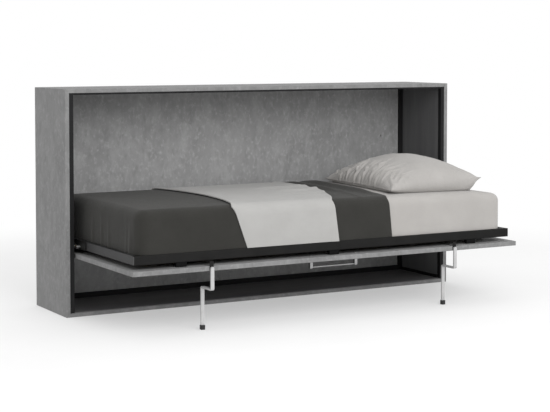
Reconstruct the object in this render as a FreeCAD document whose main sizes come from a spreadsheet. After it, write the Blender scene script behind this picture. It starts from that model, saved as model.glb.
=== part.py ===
import FreeCAD, Part
import Sketcher
import math
import os
import re

# Cabinet bed: a low cabinet that stands against a wall, with a single bed that folds down sideways
# out of its open front. X runs along the cabinet, Y runs back to the wall, Z runs up. The origin lies
# on the floor in the middle of the open bed's footprint. Everything is in millimetres.

SIZES = {
    # cabinet
    "cab_width": 2110,
    "cab_height": 1035,
    "cab_depth": 385,
    "side_board": 20,
    "top_board": 18,
    "bottom_board": 18,
    "back_board": 18,
    "edge_break": 1,
    "upright_width": 20,
    "upright_depth": 25,
    "trim_height": 8,
    "lining_board": 15,
    "floor_lining": 3,
    "post_width": 39,
    "post_thick": 10,
    "sill_height": 27,
    "strip_width": 10,
    "strip_height": 14,
    "wall_hole": 9,
    "wall_hole_inset": 150,
    "wall_hole_drop": 90,
    "wall_hole_rise": 640,
    # swing of the bed
    "pivot_back": 48.5,
    "pivot_height": 316.5,
    "swing_clear": 2,
    "pin_dia": 16,
    "pin_clear": 0.05,
    "bush_dia": 24,
    "plate_thick": 4,
    "face_gap": 0.3,
    "wall_plate_drop": 90,
    "wall_plate_rise": 70,
    "wall_plate_back": 60,
    "bed_plate_front": 70,
    "bed_plate_short": 111.5,
    "flange_stand": 5,
    # door and bed frame
    "bed_reach": 630,
    "door_board": 21,
    "door_side_gap": 7,
    "door_gap": 20,
    "rail_setback": 34,
    "rail_side_gap": 30,
    "rail_height": 40,
    "rail_width": 20,
    "rail_wall": 2,
    "rail_round": 3,
    "frame_rear_gap": 87,
    "spacer_width": 50,
    "spacer_inset": 220,
    "slat_count": 13,
    "slat_width": 68,
    "slat_thick": 8,
    "slat_arch": 5,
    "holder_depth": 32,
    "holder_wall": 3,
    # mattress and bedding
    "mattress_side_gap": 30,
    "mattress_inset": 16,
    "mattress_rear_gap": 10,
    "mattress_thick": 180,
    "corner_round": 40,
    "top_round": 28,
    "sheet_thick": 2,
    "cover_thick": 6,
    "throw_thick": 5,
    "cover_short_front": 638,
    "cover_short_mid": 593,
    "cover_short_back": 587,
    "throw_start_front": 488,
    "throw_start_mid": 492,
    "throw_start_back": 494,
    "throw_end_front": 965,
    "throw_end_mid": 1096,
    "throw_end_back": 1114,
    "hang_fold_wide": 44,
    "hang_fold_rise": 7,
    "cutter_drop": 20,
    "pillow_wide": 470,
    "pillow_thick": 160,
    "pillow_ear": 24,
    "pillow_head_gap": 65,
    "pillow_front_gap": 82,
    "pillow_rear_gap": 68,
    "pillow_turn": 5.5,
    "pillow_lift": 1.1,
    # legs
    "leg_inset": 345,
    "bar_width": 16,
    "bar_thick": 8,
    "bar_bend": 6,
    "jog_length": 95,
    "jog_height": 183,
    "leg_pin_dia": 9,
    "bracket_plate": 3,
    "bracket_width": 18,
    "bracket_back": 72,
    "foot_width": 19,
    "foot_height": 20,
    # handle
    "handle_long": 250,
    "handle_rod": 8,
    "handle_drop": 28,
    "handle_foot": 14,
    "handle_setback": 45,
    "screw_head": 9,
    # gas struts
    "anchor_back": 220,
    "anchor_height": 400,
    "stud_back": 0,
    "stud_height": 320,
    "tube_dia": 20,
    "tube_long": 120,
    "rod_dia": 8,
    "eye_dia": 20,
    "eye_thick": 10,
    "stud_dia": 8,
    "tube_neck": 2,
    "seal_depth": 8,
    "rod_spare": 70,
}

# Sizes that follow from the driving ones, as formulas of the same sheet.
FORMULAS = {
    "reach_all": "bed_reach + 2 * face_gap + bracket_plate + bar_thick",
    "front_plane": "(reach_all - cab_depth) / 2",
    "inner_half": "cab_width / 2 - side_board",
    "upright_half": "inner_half - upright_width",
    "lining_half": "inner_half - lining_board",
    "lining_back": "cab_depth - back_board - post_thick",
    "floor_top": "bottom_board + floor_lining",
    "ceiling_low": "cab_height - top_board",
    "door_half": "upright_half - door_side_gap",
    "door_low": "pivot_height - pivot_back",
    "door_top": "door_low + door_board",
    "door_rear": "pivot_back + sqrt((pivot_height - floor_top - swing_clear) ^ 2 - pivot_back ^ 2)",
    "rail_low": "door_top + door_gap",
    "rail_top": "rail_low + rail_height",
    "rail_half": "upright_half - rail_side_gap",
    "spacer_offset": "rail_half - spacer_inset",
    "leg_offset": "rail_half - leg_inset",
    "frame_front": "bed_reach - rail_setback",
    "frame_rear": "lining_back - frame_rear_gap",
    "frame_depth": "frame_front + frame_rear",
    "bed_plate_back": "frame_rear - pivot_back - bed_plate_short",
    "mattress_low": "rail_top + face_gap",
    "mattress_front": "frame_front - mattress_inset",
    "mattress_long": "2 * (rail_half - mattress_side_gap)",
    "mattress_deep": "frame_depth - mattress_inset - mattress_rear_gap",
    "mattress_top": "mattress_low + mattress_thick",
    "pillow_long": "mattress_deep - pillow_front_gap - pillow_rear_gap",
    "sheet_out": "face_gap + sheet_thick",
    "cover_out": "sheet_out + face_gap + cover_thick",
    "throw_out": "cover_out + face_gap + throw_thick",
    "leg_face": "bed_reach + 2 * face_gap + bracket_plate",
    "leg_axis": "door_low + door_board / 2",
    "strut_long": "sqrt((anchor_back - stud_back) ^ 2 + (anchor_height - stud_height) ^ 2)",
    "strut_angle": "atan((anchor_height - stud_height) / (anchor_back - stud_back))",
}

doc = FreeCAD.newDocument("CabinetBed")
sheet = doc.addObject("Spreadsheet::Sheet", "Sizes")
parts = {}


def fill_sheet():
    """Write the driving sizes and the formulas into the sheet, one alias to a row."""
    row = 1
    for alias, number in SIZES.items():
        sheet.set("A%d" % row, alias)
        sheet.set("B%d" % row, str(number))
        sheet.setAlias("B%d" % row, alias)
        row += 1
    for alias, formula in FORMULAS.items():
        sheet.set("A%d" % row, alias)
        sheet.set("B%d" % row, "=" + formula)
        sheet.setAlias("B%d" % row, alias)
        row += 1
    doc.recompute()


def size(alias):
    """A size as a plain number, for the shapes that are worked out in code."""
    return float(sheet.get(alias))


def link(text):
    """Turn the sheet's names inside a formula into references to the sheet."""
    return re.sub(r"\b([a-z]+_[a-z_]+)\b", r"Sizes.\1", str(text))


def bind(thing, **formulas):
    for prop, formula in formulas.items():
        thing.setExpression(prop, link(formula))


def put(thing, x, y, z):
    """Place a sub-part: x from the middle, y behind the cabinet's front plane, z above the floor."""
    thing.setExpression("Placement.Base.x", link(x))
    thing.setExpression("Placement.Base.y", link("front_plane + (%s)" % y))
    thing.setExpression("Placement.Base.z", link(z))


def keep(name, thing):
    """Register a finished sub-part under the name of its file."""
    thing.Label = name
    parts[name] = thing
    return thing


def new_body(name):
    return doc.addObject("PartDesign::Body", name + "_body")


def origin_plane(body, role):
    return [item for item in body.Origin.OriginFeatures if item.Role == role][0]


def sketch_on(body, role, name):
    sketch = body.newObject("Sketcher::SketchObject", name)
    sketch.AttachmentSupport = (origin_plane(body, role), [""])
    sketch.MapMode = "FlatFace"
    return sketch


def tie(sketch, kind, index, end, formula):
    """Hold one coordinate of a sketch point to a formula of the sheet."""
    row = sketch.addConstraint(Sketcher.Constraint(kind, -1, 1, index, end, 1.0))
    sketch.renameConstraint(row, "c%d" % row)
    sketch.setExpression("Constraints.c%d" % row, link(formula))


def polygon(sketch, corners):
    """A closed outline whose corners are pairs of formulas."""
    first = sketch.GeometryCount
    count = len(corners)
    for index in range(count):
        turn = 2 * math.pi * index / count
        following = 2 * math.pi * (index + 1) / count
        start = FreeCAD.Vector(9 * math.cos(turn), 9 * math.sin(turn), 0)
        finish = FreeCAD.Vector(9 * math.cos(following), 9 * math.sin(following), 0)
        sketch.addGeometry(Part.LineSegment(start, finish), False)
    for index in range(count):
        after = first + (index + 1) % count
        sketch.addConstraint(Sketcher.Constraint("Coincident", first + index, 2, after, 1))
    for index, (across, up) in enumerate(corners):
        tie(sketch, "DistanceX", first + index, 1, across)
        tie(sketch, "DistanceY", first + index, 1, up)


def rectangle(sketch, x, y, wide, tall):
    polygon(sketch, [
        (x, y),
        ("(%s) + (%s)" % (x, wide), y),
        ("(%s) + (%s)" % (x, wide), "(%s) + (%s)" % (y, tall)),
        (x, "(%s) + (%s)" % (y, tall)),
    ])


def circle(sketch, x, y, diameter):
    index = sketch.addGeometry(Part.Circle(FreeCAD.Vector(5, 5, 0), FreeCAD.Vector(0, 0, 1), 3), False)
    tie(sketch, "DistanceX", index, 3, x)
    tie(sketch, "DistanceY", index, 3, y)
    row = sketch.addConstraint(Sketcher.Constraint("Diameter", index, 6.0))
    sketch.renameConstraint(row, "c%d" % row)
    sketch.setExpression("Constraints.c%d" % row, link(diameter))


def pad(body, sketch, length, middle=False):
    feature = body.newObject("PartDesign::Pad", sketch.Name + "_pad")
    feature.Profile = sketch
    bind(feature, Length=length)
    feature.Midplane = middle
    return feature


def pocket(body, sketch):
    """Cut a sketch right through the body, both ways from its plane."""
    feature = body.newObject("PartDesign::Pocket", sketch.Name + "_cut")
    feature.Profile = sketch
    feature.Type = "ThroughAll"
    feature.Midplane = True
    return feature


def soften(body, base, radius, wanted, kind="Fillet"):
    """Round or chamfer the edges of the body's last feature that pass a test."""
    doc.recompute()
    names = ["Edge%d" % (i + 1) for i, edge in enumerate(base.Shape.Edges) if wanted(edge)]
    feature = body.newObject("PartDesign::" + kind, base.Name + "_soft")
    feature.Base = (base, names)
    bind(feature, **{("Radius" if kind == "Fillet" else "Size"): radius})
    return feature


def any_edge(edge):
    return True


def edge_along(direction):
    """A test for the straight edges that run along one axis."""
    def wanted(edge):
        if not isinstance(edge.Curve, Part.Line):
            return False
        return abs(edge.Curve.Direction.dot(direction)) > 0.999
    return wanted


ALONG_X = FreeCAD.Vector(1, 0, 0)
ALONG_Y = FreeCAD.Vector(0, 1, 0)
ALONG_Z = FreeCAD.Vector(0, 0, 1)


def board(name, x, y, z, wide, deep, tall, holes=None):
    """A panel with its edges broken, and any holes drilled through it front to back."""
    body = new_body(name)
    sketch = sketch_on(body, "XZ_Plane", name + "_face")
    rectangle(sketch, 0, 0, wide, tall)
    last = pad(body, sketch, deep)
    last.Reversed = True
    last = soften(body, last, "edge_break", any_edge, "Chamfer")
    if holes:
        doc.recompute()
        drill = sketch_on(body, "XZ_Plane", name + "_holes")
        for across, up, diameter in holes:
            circle(drill, across, up, diameter)
        last = pocket(body, drill)
    put(body, x, y, z)
    return keep(name, body)


def board_pair(name, inner, y, z, wide, deep, tall):
    """The same panel on the left and on the right; inner is its distance from the middle."""
    board(name + "_left", "-(%s) - (%s)" % (inner, wide), y, z, wide, deep, tall)
    board(name + "_right", inner, y, z, wide, deep, tall)


def carcass():
    """The outer box in cement-grey board."""
    board_pair("side_panel", "inner_half", 0, 0, "side_board", "cab_depth", "cab_height")
    board("top_panel", "-inner_half", 0, "ceiling_low", "2 * inner_half", "cab_depth", "top_board")
    board("bottom_panel", "-inner_half", 0, 0, "2 * inner_half", "cab_depth", "bottom_board")
    low = "wall_hole_drop"
    high = "wall_hole_drop + wall_hole_rise"
    near = "wall_hole_inset"
    far = "2 * inner_half - wall_hole_inset"
    holes = [(x, z, "wall_hole") for x in (near, far) for z in (low, high)]
    board("back_panel", "-inner_half", "cab_depth - back_board", "bottom_board", "2 * inner_half",
          "back_board", "ceiling_low - bottom_board", holes)


def lining():
    """The black and anthracite trim that frames the opening and lines the inside."""
    tall = "ceiling_low - bottom_board"
    board_pair("front_upright", "upright_half", 0, "bottom_board", "upright_width", "upright_depth", tall)
    board("front_top_trim", "-upright_half", 0, "ceiling_low - trim_height", "2 * upright_half",
          "upright_depth", "trim_height")
    board_pair("lining_panel", "lining_half", "upright_depth", "bottom_board", "lining_board",
               "lining_back - upright_depth", tall)
    board_pair("rear_post", "inner_half - post_width", "lining_back", "bottom_board + sill_height",
               "post_width", "post_thick", "ceiling_low - bottom_board - sill_height")
    board("rear_sill", "-inner_half", "lining_back", "bottom_board", "2 * inner_half", "post_thick",
          "sill_height")
    board("floor_panel", "-upright_half", "edge_break", "bottom_board", "2 * upright_half",
          "lining_back - edge_break", "floor_lining")
    board_pair("floor_strip", "lining_half - strip_width", "upright_depth", "floor_top",
               "strip_width", "lining_back - upright_depth", "strip_height")


def hollow_rail(name, x, y, z, long_way, length):
    """A rectangular steel tube with rounded corners, lying along X or along Y."""
    body = new_body(name)
    role = "YZ_Plane" if long_way == "x" else "XZ_Plane"
    outer = sketch_on(body, role, name + "_outside")
    rectangle(outer, 0, 0, "rail_width", "rail_height")
    rod = pad(body, outer, length)
    if long_way == "y":
        rod.Reversed = True
    direction = ALONG_X if long_way == "x" else ALONG_Y
    rod = soften(body, rod, "rail_round", edge_along(direction))
    doc.recompute()
    bore = sketch_on(body, role, name + "_bore")
    rectangle(bore, "rail_wall", "rail_wall", "rail_width - 2 * rail_wall", "rail_height - 2 * rail_wall")
    pocket(body, bore)
    put(body, x, y, z)
    return keep(name, body)


def bed_frame():
    """Four steel tubes under the mattress, set back from the door's front edge."""
    long_rail = "2 * rail_half"
    hollow_rail("front_rail", "-rail_half", "-frame_front", "rail_low", "x", long_rail)
    hollow_rail("rear_rail", "-rail_half", "frame_rear - rail_width", "rail_low", "x", long_rail)
    short = "frame_depth - 2 * rail_width"
    start = "rail_width - frame_front"
    hollow_rail("side_rail_left", "-rail_half", start, "rail_low", "y", short)
    hollow_rail("side_rail_right", "rail_half - rail_width", start, "rail_low", "y", short)


def rail_caps():
    """Plastic caps that close the four open ends of the two long rails."""
    body = new_body("cap")
    plug = sketch_on(body, "YZ_Plane", "cap_plug")
    rectangle(plug, "rail_wall + face_gap", "rail_wall + face_gap",
              "rail_width - 2 * rail_wall - 2 * face_gap", "rail_height - 2 * rail_wall - 2 * face_gap")
    pad(body, plug, "rail_width")
    doc.recompute()
    shape = body.Shape
    mirrored = shape.mirror(FreeCAD.Vector(0, 0, 0), ALONG_X)
    front = size("front_plane") - size("frame_front")
    rear = size("front_plane") + size("frame_rear") - size("rail_width")
    caps = []
    for y in (front, rear):
        left = shape.copy()
        left.translate(FreeCAD.Vector(-size("rail_half"), y, size("rail_low")))
        right = mirrored.copy()
        right.translate(FreeCAD.Vector(size("rail_half"), y, size("rail_low")))
        caps += [left, right]
    group("rail_caps", caps)


def both_ends(name, body, x, back, height):
    """The same turned piece at the right end and, mirrored, at the left, in one file."""
    put(body, x, back, height)
    doc.recompute()
    shape = body.Shape
    group(name, [shape.mirror(FreeCAD.Vector(0, 0, 0), ALONG_X), shape])


def group(name, shapes):
    """Several like pieces that share one file, each its own solid."""
    feature = doc.addObject("Part::Feature", name + "_group")
    feature.Shape = Part.makeCompound(shapes)
    return keep(name, feature)


def slat_positions():
    count = int(size("slat_count"))
    pitch = size("mattress_long") / count
    return [(index - (count - 1) / 2) * pitch for index in range(count)]


def slats():
    """Arched plywood slats, each in a pair of rubber holders on the long rails."""
    front = size("front_plane") - size("frame_front") + size("rail_width")
    rear = size("front_plane") + size("frame_rear") - size("rail_width")
    inset = size("holder_wall") + size("face_gap")
    start, finish = front + inset, rear - inset
    top = size("rail_top") - size("slat_arch")
    thick, arch, wide = size("slat_thick"), size("slat_arch"), size("slat_width")
    middle = (start + finish) / 2

    def bow(height, backwards=False):
        points = [(start, height), (middle, height + arch), (finish, height)]
        if backwards:
            points.reverse()
        return Part.Arc(*[FreeCAD.Vector(0, y, z) for y, z in points]).toShape()

    ends = [Part.makeLine(FreeCAD.Vector(0, y, a), FreeCAD.Vector(0, y, b))
            for y, a, b in ((finish, top, top - thick), (start, top - thick, top))]
    face = Part.Face(Part.Wire([bow(top), ends[0], bow(top - thick, True), ends[1]]))
    slat = face.extrude(FreeCAD.Vector(wide, 0, 0))
    holder_deep = size("holder_depth")
    wall = size("holder_wall")
    rise = size("face_gap") + arch * 0.3
    low = top - thick - size("face_gap") - wall
    outer = Part.makeBox(wide + 2 * wall, holder_deep, thick + 2 * wall + rise + size("face_gap"),
                         FreeCAD.Vector(-wall, front, low))
    hole = Part.makeBox(wide + 2 * size("face_gap"), holder_deep, thick + rise + size("face_gap"),
                        FreeCAD.Vector(-size("face_gap"), front + wall, low + wall))
    holder = outer.cut(hole)
    plane = FreeCAD.Vector(0, middle, 0)
    back_holder = holder.mirror(plane, ALONG_Y)
    shelf = []
    cradles = []
    for x in slat_positions():
        shift = FreeCAD.Vector(x - wide / 2, 0, 0)
        for shape, pile in ((slat, shelf), (holder, cradles), (back_holder, cradles)):
            copy = shape.copy()
            copy.translate(shift)
            pile.append(copy)
    group("slats", shelf)
    group("slat_holders", cradles)


def door():
    """The large front panel, and the blocks that hold it off the frame."""
    board("door_panel", "-door_half", "-bed_reach", "door_low", "2 * door_half",
          "bed_reach + door_rear", "door_board")
    blocks = []
    for x in (-size("spacer_offset"), 0, size("spacer_offset")):
        for y in (-size("frame_front"), size("frame_rear") - size("rail_width")):
            corner = FreeCAD.Vector(x - size("spacer_width") / 2, size("front_plane") + y, size("door_top"))
            block = Part.makeBox(size("spacer_width"), size("rail_width"), size("door_gap"), corner)
            blocks.append(block.makeChamfer(size("edge_break"), block.Edges))
    group("door_spacers", blocks)


def turned(name, outline):
    """A round piece turned about X from (distance, radius) pairs of formulas."""
    body = new_body(name)
    sketch = sketch_on(body, "XY_Plane", name + "_outline")
    polygon(sketch, outline)
    lathe = body.newObject("PartDesign::Revolution", name + "_turn")
    lathe.Profile = sketch
    lathe.ReferenceAxis = (sketch, ["H_Axis"])
    lathe.Angle = 360
    return body


def pivots():
    """Pins, bushes and steel plates at both ends of the bed, on the line that it swings about."""
    for side, sign in (("left", -1), ("right", 1)):
        wall_plate(side, sign)
        bed_plate(side, sign)
    both_ends("pivot_pins", pivot_pin(), "rail_half + plate_thick", "pivot_back", "pivot_height")
    both_ends("pivot_bushes", pivot_bush(), "lining_half - plate_thick - flange_stand", "pivot_back",
              "pivot_height")


def wall_plate(side, sign):
    """The bearing plate on the side lining, with a bore for the bush."""
    name = "wall_plate_" + side
    body = new_body(name)
    sketch = sketch_on(body, "YZ_Plane", name + "_face")
    front = "upright_depth - pivot_back + face_gap"
    low = "-wall_plate_drop"
    shoulder = "0.6 * wall_plate_rise"
    polygon(sketch, [(front, low), ("wall_plate_back", low), ("wall_plate_back", shoulder),
                     ("0.4 * wall_plate_back", "wall_plate_rise"), (0, "wall_plate_rise"),
                     (front, shoulder)])
    last = pad(body, sketch, "plate_thick")
    last = soften(body, last, "rail_round", edge_along(ALONG_X), "Chamfer")
    doc.recompute()
    bore = sketch_on(body, "YZ_Plane", name + "_bore")
    circle(bore, 0, 0, "bush_dia")
    pocket(body, bore)
    x = "lining_half - plate_thick" if sign > 0 else "-lining_half"
    put(body, x, "pivot_back", "pivot_height")
    keep(name, body)


def bed_plate(side, sign):
    """The long plate that joins the side rail to the pivot pin."""
    name = "bed_plate_" + side
    body = new_body(name)
    sketch = sketch_on(body, "YZ_Plane", name + "_face")
    low = "rail_low - pivot_height"
    top = "rail_top - pivot_height"
    start = "stud_back - pivot_back - bed_plate_front"
    polygon(sketch, [(start, low), ("-1.5 * pin_dia", low), ("-0.9 * pin_dia", "-pin_dia"),
                     ("0.9 * pin_dia", "-pin_dia"), ("1.5 * pin_dia", low), ("bed_plate_back", low),
                     ("bed_plate_back", top), (start, top)])
    last = pad(body, sketch, "plate_thick")
    last = soften(body, last, "rail_round", edge_along(ALONG_X), "Chamfer")
    x = "rail_half" if sign > 0 else "-rail_half - plate_thick"
    put(body, x, "pivot_back", "pivot_height")
    keep(name, body)


def pivot_pin():
    """The pin is fixed to the bed's plate and turns in a flanged bush in the wall's plate."""
    reach = "lining_half - face_gap - rail_half - plate_thick"
    return turned("pivot_pin", [
        (0, 0), (reach, 0), (reach, "pin_dia / 2"), ("plate_thick", "pin_dia / 2"),
        ("plate_thick", "pin_dia / 2 + plate_thick"), (0, "pin_dia / 2 + plate_thick")])


def pivot_bush():
    inner = "pin_dia / 2 + pin_clear"
    whole = "plate_thick + flange_stand"
    return turned("pivot_bush", [
        (0, inner), (whole, inner), (whole, "bush_dia / 2"), ("flange_stand", "bush_dia / 2"),
        ("flange_stand", "bush_dia / 2 + plate_thick"), (0, "bush_dia / 2 + plate_thick")])


def legs():
    for side, sign in (("left", -1), ("right", 1)):
        leg_bracket(side, sign)
        leg_bar(side, sign)
        leg_foot(side, sign)
        leg_pin(side, sign)


def leg_x(sign):
    return "%d * leg_offset" % sign


def leg_bracket(side, sign):
    """A bent plate under the front rail that turns down over the door's front edge."""
    name = "leg_bracket_" + side
    body = new_body(name)
    sketch = sketch_on(body, "YZ_Plane", name + "_side")
    low = "leg_axis - bar_width / 2 - rail_low"
    polygon(sketch, [(0, low), ("bracket_plate", low), ("bracket_plate", "-bracket_plate"),
                     ("bracket_back", "-bracket_plate"), ("bracket_back", 0), (0, 0)])
    last = pad(body, sketch, "bracket_width", True)

    def outer_bend(edge):
        middle = edge.CenterOfMass
        return edge_along(ALONG_X)(edge) and abs(middle.y) < 0.01 and abs(middle.z) < 0.01

    last = soften(body, last, "bracket_plate - 0.5", outer_bend)
    doc.recompute()
    bore = sketch_on(body, "XZ_Plane", name + "_bore")
    circle(bore, 0, "leg_axis - rail_low", "leg_pin_dia")
    hole = body.newObject("PartDesign::Pocket", name + "_bore_cut")
    hole.Profile = bore
    bind(hole, Length="4 * bracket_plate")
    hole.Midplane = True
    put(body, leg_x(sign), "-bed_reach - face_gap - bracket_plate", "rail_low")
    keep(name, body)


def leg_bar(side, sign):
    """A flat steel bar, bent back under the door half way down."""
    name = "leg_bar_" + side
    body = new_body(name)
    sketch = sketch_on(body, "YZ_Plane", name + "_side")
    top = "leg_axis + bar_width / 2"
    low = "foot_height - bar_thick"
    polygon(sketch, [
        (0, "jog_height"), ("jog_length", "jog_height"), ("jog_length", low),
        ("jog_length + bar_thick", low), ("jog_length + bar_thick", "jog_height + bar_thick"),
        ("bar_thick", "jog_height + bar_thick"), ("bar_thick", top), (0, top)])
    last = pad(body, sketch, "bar_width", True)
    inside = size("jog_height")
    thick = size("bar_thick")
    reach = size("jog_length")
    outer = ((0, inside), (reach + thick, inside + thick))
    inner = ((thick, inside + thick), (reach, inside))

    def near(spots):
        def wanted(edge):
            middle = edge.CenterOfMass
            return edge_along(ALONG_X)(edge) and any(
                abs(middle.y - y) < 0.01 and abs(middle.z - z) < 0.01 for y, z in spots)
        return wanted

    last = soften(body, last, "bar_bend + bar_thick * 0.6", near(outer))
    last = soften(body, last, "bar_bend * 0.5", near(inner))
    top_value = size("leg_axis") + size("bar_width") / 2

    def top_corner(edge):
        return edge_along(ALONG_Y)(edge) and abs(edge.CenterOfMass.z - top_value) < 0.01

    last = soften(body, last, "bar_width / 2 - 0.1", top_corner)
    doc.recompute()
    bore = sketch_on(body, "XZ_Plane", name + "_bore")
    circle(bore, 0, "leg_axis", "leg_pin_dia + 2 * pin_clear")
    hole = body.newObject("PartDesign::Pocket", name + "_bore_cut")
    hole.Profile = bore
    bind(hole, Length="4 * bar_thick")
    hole.Midplane = True
    put(body, leg_x(sign), "-leg_face - bar_thick", 0)
    keep(name, body)


def leg_foot(side, sign):
    """A black rubber shoe pushed over the end of the bar."""
    name = "leg_foot_" + side
    body = new_body(name)
    sketch = sketch_on(body, "XY_Plane", name + "_plan")
    rectangle(sketch, "-foot_width / 2", "-foot_width / 2", "foot_width", "foot_width")
    last = pad(body, sketch, "foot_height")
    last = soften(body, last, "2 * edge_break", edge_along(ALONG_Z), "Chamfer")
    last = soften(body, last, "edge_break", lambda edge: abs(edge.CenterOfMass.z) < 0.01, "Chamfer")
    doc.recompute()
    socket = sketch_on(body, "XY_Plane", name + "_socket")
    rectangle(socket, "-bar_width / 2", "-bar_thick / 2", "bar_width", "bar_thick")
    socket.AttachmentOffset = FreeCAD.Placement(FreeCAD.Vector(0, 0, 1), FreeCAD.Rotation())
    socket.setExpression("AttachmentOffset.Base.z", link("foot_height - bar_thick"))
    cut = body.newObject("PartDesign::Pocket", name + "_socket_cut")
    cut.Profile = socket
    cut.Reversed = True
    bind(cut, Length="2 * foot_height")
    put(body, leg_x(sign), "-leg_face - bar_thick / 2 + jog_length", 0)
    keep(name, body)


def leg_pin(side, sign):
    """The rivet that the leg turns on, fixed in the bracket."""
    name = "leg_pin_" + side
    body = new_body(name)
    sketch = sketch_on(body, "XZ_Plane", name + "_round")
    circle(sketch, 0, 0, "leg_pin_dia")
    rivet = pad(body, sketch, "bracket_plate + face_gap + bar_thick")
    rivet.Reversed = True
    put(body, leg_x(sign), "-leg_face - bar_thick", "leg_axis")
    keep(name, body)


def handle():
    """A bow handle on the face of the door: a round bar between two posts, near the front edge."""
    between = "handle_long - 2 * handle_foot"
    bar = turned("handle_bar", [(0, 0), (between, 0), (between, "handle_rod / 2"),
                                (0, "handle_rod / 2")])
    put(bar, "-(%s) / 2" % between, "handle_setback - bed_reach", "door_low - handle_drop")
    keep("handle_bar", bar)
    for side, sign in (("left", -1), ("right", 1)):
        handle_post(side, sign)
    handle_screws()


def handle_post(side, sign):
    """A post of the handle: a wide seat on the door that narrows to the bar, round at its end."""
    name = "handle_foot_" + side
    body = new_body(name)
    sketch = sketch_on(body, "YZ_Plane", name + "_side")
    end = "-handle_drop - handle_foot / 2"
    polygon(sketch, [("-handle_foot", 0), ("-handle_foot / 2", "-handle_foot / 2"),
                     ("-handle_foot / 2", end), ("handle_foot / 2", end),
                     ("handle_foot / 2", "-handle_foot / 2"), ("handle_foot", 0)])
    last = pad(body, sketch, "handle_foot", True)
    low = -size("handle_drop") - size("handle_foot") / 2

    def lower_edge(edge):
        return edge_along(ALONG_X)(edge) and abs(edge.CenterOfMass.z - low) < 0.01

    last = soften(body, last, "handle_foot / 2 - edge_break", lower_edge)
    put(body, "%d * (handle_long - handle_foot) / 2" % sign, "handle_setback - bed_reach", "door_low")
    keep(name, body)


def handle_screws():
    """The heads of the screws that reach through the door into the handle's posts."""
    y = size("front_plane") - size("bed_reach") + size("handle_setback")
    offset = (size("handle_long") - size("handle_foot")) / 2
    tall = size("handle_rod") / 4
    heads = [Part.makeCylinder(size("screw_head") / 2, tall, FreeCAD.Vector(x, y, size("door_top")))
             for x in (-offset, offset)]
    group("handle_screws", heads)


def struts():
    """A gas strut in the space between each side rail and the side lining."""
    for side, sign in (("left", -1), ("right", 1)):
        middle = "%d * (rail_half + lining_half) / 2" % sign
        strut_tube(side, middle)
        strut_rod(side, middle)
    strut_studs()


def along_strut(name, body, middle, back, height):
    """Tilt a strut piece that was made along Y, and place its eye."""
    body.Placement = FreeCAD.Placement(FreeCAD.Vector(), FreeCAD.Rotation(ALONG_X, size("strut_angle")))
    put(body, middle, back, height)
    keep(name, body)


def strut_disc(body, name, diameter, start=0):
    """A round outline across the strut, at a distance along it."""
    sketch = sketch_on(body, "XZ_Plane", name)
    circle(sketch, 0, 0, diameter)
    sketch.AttachmentOffset = FreeCAD.Placement(FreeCAD.Vector(0, 0, 1), FreeCAD.Rotation())
    sketch.setExpression("AttachmentOffset.Base.z", link(start))
    return sketch


def flat_eye(body, name, diameter):
    eye = sketch_on(body, "YZ_Plane", name)
    circle(eye, 0, 0, diameter)
    pad(body, eye, "eye_thick", True)
    doc.recompute()


def strut_tube(side, middle):
    """The strut's cylinder: a bored eye, a short neck, and a barrel open to the rod."""
    body = new_body("strut_tube_" + side)
    flat_eye(body, "tube_eye_" + side, "eye_dia")
    pad(body, strut_disc(body, "neck_" + side, "rod_dia"), "tube_long")
    doc.recompute()
    bore = sketch_on(body, "YZ_Plane", "eye_bore_" + side)
    circle(bore, 0, 0, "stud_dia + 2 * pin_clear")
    pocket(body, bore)
    barrel = strut_disc(body, "barrel_" + side, "tube_dia", "eye_dia / 2 + tube_neck")
    pad(body, barrel, "tube_long - eye_dia / 2")
    doc.recompute()
    throat = strut_disc(body, "throat_" + side, "rod_dia + 2 * pin_clear", "eye_dia / 2 + seal_depth")
    cut = body.newObject("PartDesign::Pocket", "throat_cut_" + side)
    cut.Profile = throat
    cut.Reversed = True
    bind(cut, Length="tube_long + 10")
    along_strut("strut_tube_" + side, body, middle, "anchor_back", "anchor_height")


def strut_rod(side, middle):
    """The strut's rod points up from its eye, in the middle of the tube's bore."""
    body = new_body("strut_rod_" + side)
    flat_eye(body, "rod_eye_" + side, "eye_dia - 2")
    run = pad(body, strut_disc(body, "rod_shaft_" + side, "rod_dia"),
              "strut_long - eye_dia / 2 - tube_neck - eye_thick - rod_spare")
    run.Reversed = True
    along_strut("strut_rod_" + side, body, middle, "stud_back", "stud_height")


def strut_studs():
    """The studs on the linings that the tubes hang on, and those on the bed that the rods push."""
    half = "(lining_half - rail_half) / 2"
    shoulder = "%s - eye_thick / 2 - face_gap" % half
    anchor = turned("anchor_stud", [
        (0, 0), ("-(%s) - eye_thick / 2" % half, 0), ("-(%s) - eye_thick / 2" % half, "stud_dia / 2"),
        ("-(%s)" % shoulder, "stud_dia / 2"), ("-(%s)" % shoulder, "eye_dia / 2 - tube_neck"),
        (0, "eye_dia / 2 - tube_neck")])
    both_ends("anchor_studs", anchor, "lining_half", "anchor_back", "anchor_height")
    bed = turned("bed_stud", [(0, 0), ("%s - plate_thick" % shoulder, 0),
                              ("%s - plate_thick" % shoulder, "stud_dia"), (0, "stud_dia")])
    both_ends("bed_studs", bed, "rail_half + plate_thick", "stud_back", "stud_height")


def block_form(grow, lower=0):
    """The mattress's rounded block, grown by a cloth's distance; lowered below for a cutter."""
    wide = size("mattress_long") + 2 * grow
    deep = size("mattress_deep") + 2 * grow
    low = size("mattress_low") - lower
    corner = FreeCAD.Vector(-wide / 2, size("front_plane") - size("mattress_front") - grow, low)
    block = Part.makeBox(wide, deep, size("mattress_thick") + grow + lower, corner)
    upright = [edge for edge in block.Edges if edge_along(ALONG_Z)(edge)]
    block = block.makeFillet(size("corner_round") + grow, upright)
    top = block.BoundBox.ZMax
    rim = [edge for edge in block.Edges if abs(edge.BoundBox.ZMin - top) < 0.01]
    return block.makeFillet(size("top_round") + grow, rim)


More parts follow.
